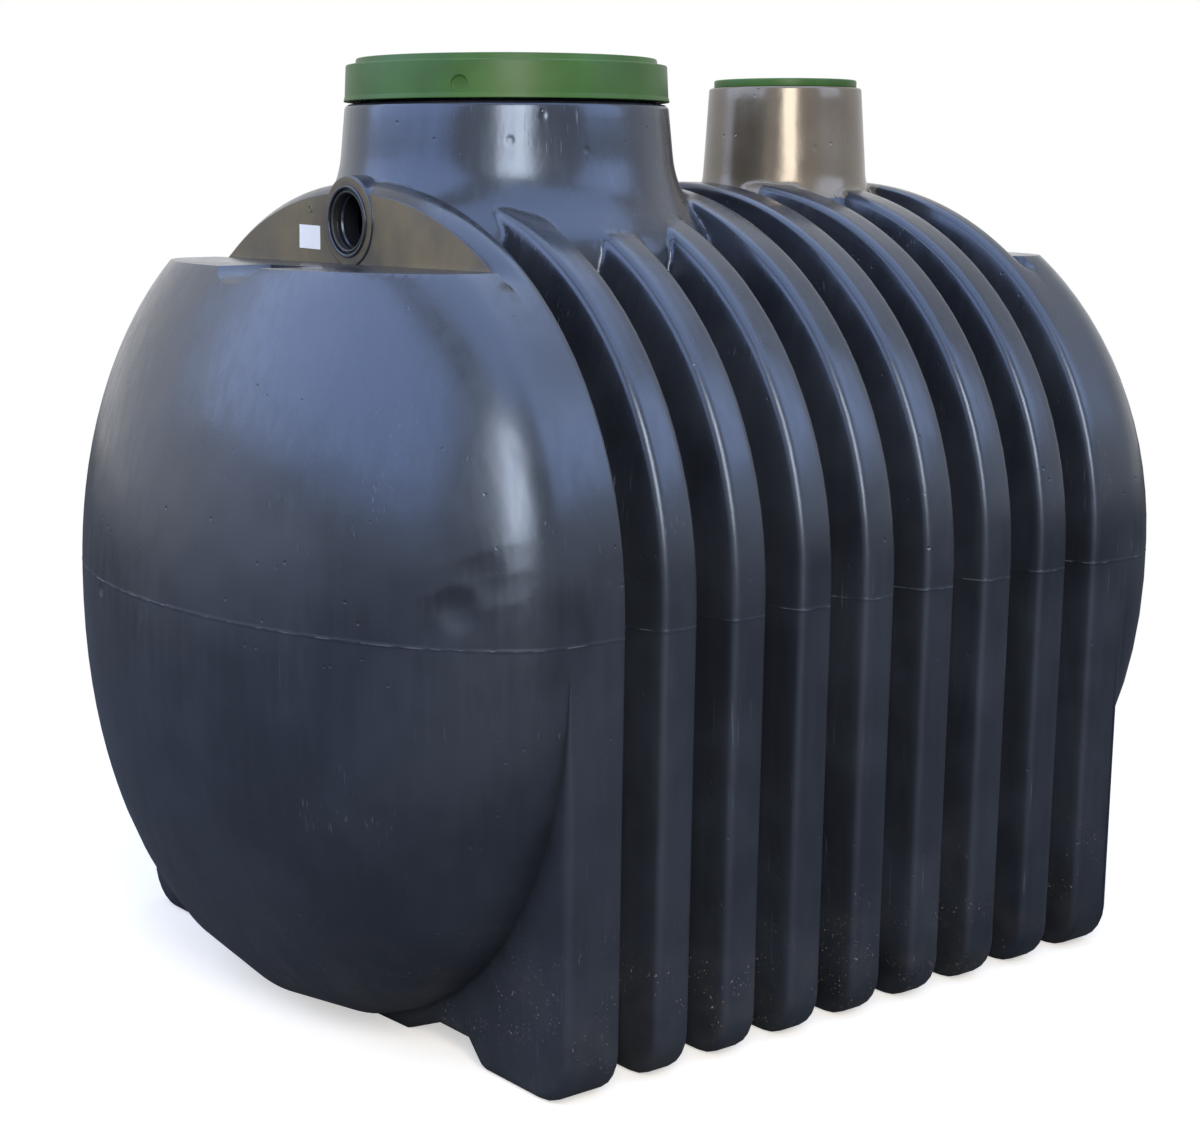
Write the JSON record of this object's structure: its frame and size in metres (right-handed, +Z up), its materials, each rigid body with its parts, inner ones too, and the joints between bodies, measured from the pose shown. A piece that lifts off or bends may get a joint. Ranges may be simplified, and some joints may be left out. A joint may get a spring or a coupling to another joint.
{
  "type": "septic tank",
  "caption": "Ribbed plastic septic tank with bulged ends, a manhole neck, an inspection neck and a pipe socket at each end.",
  "frame": {"origin": "on the ground, under the middle of the tank's box", "axes": "+Z up, Y along the tank with the inlet end at -Y, X across it"},
  "size_m": [1.616, 2.263, 1.896],
  "materials": {
    "tank_shell": "satin",
    "cover_plastic": "satin",
    "seal_rubber": "matte"
  },
  "bodies": {
    "tank": {"front_band": "tank_shell", "rib_1": "tank_shell", "rib_2": "tank_shell", "rib_3": "tank_shell", "rib_4": "tank_shell", "rib_5": "tank_shell", "rib_6": "tank_shell", "rib_7": "tank_shell", "rear_band": "tank_shell", "front_end": "tank_shell", "rear_end": "tank_shell", "manhole_neck": "tank_shell", "inspection_neck": "tank_shell", "inlet_face": "tank_shell", "outlet_face": "tank_shell", "inlet_socket": "tank_shell", "outlet_socket": "tank_shell", "inlet_seal": "seal_rubber", "outlet_seal": "seal_rubber"},
    "manhole_cover": {"manhole_cover": "cover_plastic"},
    "inspection_cap": {"inspection_cap": "cover_plastic"}
  },
  "joints": [
    {"name": "manhole_cover_lift", "type": "slide", "parent": "tank", "child": "manhole_cover", "axis": [0, 0, 1], "range_m": [0, 0.3]},
    {"name": "inspection_cap_lift", "type": "slide", "parent": "tank", "child": "inspection_cap", "axis": [0, 0, 1], "range_m": [0, 0.25]}
  ]
}
